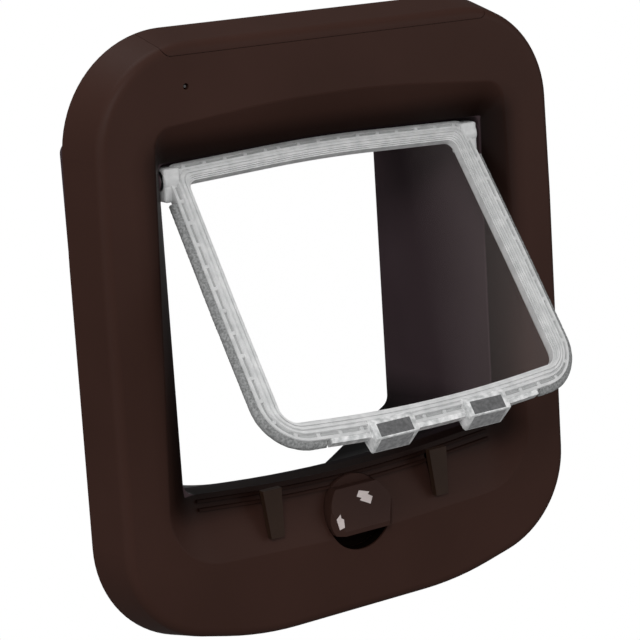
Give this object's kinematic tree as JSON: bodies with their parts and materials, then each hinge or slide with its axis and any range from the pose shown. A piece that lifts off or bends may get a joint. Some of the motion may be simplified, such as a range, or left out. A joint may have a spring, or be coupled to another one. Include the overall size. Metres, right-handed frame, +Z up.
{
  "type": "cat flap",
  "caption": "Pet door inner unit: moulded frame, clear swinging flap with pile seals, lock dial, powered latch and tunnel liner.",
  "frame": {"origin": "on the plane of the door's face, at the middle line of the opening", "axes": "+X right seen from the room, +Y into the door, +Z up"},
  "size_m": [0.2368, 0.1603, 0.2632],
  "materials": {
    "housing": "moulded brown ABS, satin",
    "tunnel_liner": "moulded brown ABS, satin",
    "dial": "moulded brown ABS, satin",
    "latch_plastic": "moulded acetal, satin",
    "clear_plastic": "clear polycarbonate with a frosted rim",
    "pile": "grey woven pile",
    "circuit": "glass-filled board with parts",
    "light_lens": "tinted clear resin",
    "copper_wire": "enamelled copper winding",
    "tray": "moulded black ABS",
    "cell_can": "bare metal cell",
    "spring_steel": "nickel-plated strip",
    "magnet": "ground ferrite",
    "screw_steel": "zinc-plated steel"
  },
  "bodies": {
    "housing": {"fascia": "housing", "rear_cover": "housing", "tunnel": "tunnel_liner", "circuit_board": "circuit", "status_light": "light_lens", "antenna_coil": "copper_wire", "battery_tray": "tray", "battery_1": "cell_can", "battery_2": "cell_can", "battery_3": "cell_can", "battery_4": "cell_can", "contact_left": "spring_steel", "contact_right": "spring_steel", "cover_screws": "screw_steel", "latch_motor": "screw_steel"},
    "flap": {"flap": "clear_plastic", "flap_magnet_left": "magnet", "flap_magnet_right": "magnet", "seal_left": "pile", "seal_right": "pile"},
    "dial": {"lock_dial": "dial", "selector_cam": "latch_plastic", "dial_screw": "screw_steel"},
    "latch": {"latch_carriage": "latch_plastic", "latch_finger_left": "latch_plastic", "latch_finger_right": "latch_plastic"},
    "pinion": {"motor_pinion": "latch_plastic"},
    "cover": {"battery_cover": "housing"}
  },
  "joints": [
    {"name": "flap_swing", "type": "hinge", "parent": "housing", "child": "flap", "pos_m": [0, -0.0085, 0.0571], "axis": [1, 0, 0], "range_deg": [-49, 110]},
    {"name": "dial_turn", "type": "hinge", "parent": "housing", "child": "dial", "pos_m": [0, -0.02, -0.0975], "axis": [0, 1, 0], "range_deg": [0, 270]},
    {"name": "latch_lift", "type": "slide", "parent": "housing", "child": "latch", "axis": [0, 0, 1], "range_m": [0, 0.0155]},
    {"name": "pinion_turn", "type": "hinge", "parent": "housing", "child": "pinion", "pos_m": [0.055, -0.008, -0.112], "axis": [0, 1, 0], "range_deg": [0, 198]},
    {"name": "battery_cover_lift", "type": "slide", "parent": "housing", "child": "cover", "axis": [0, 0, 1], "range_m": [0, 0.012]}
  ],
  "couplings": [
    {"joint": "pinion_turn", "follows": "latch_lift", "rad_per_m": 222.22}
  ]
}
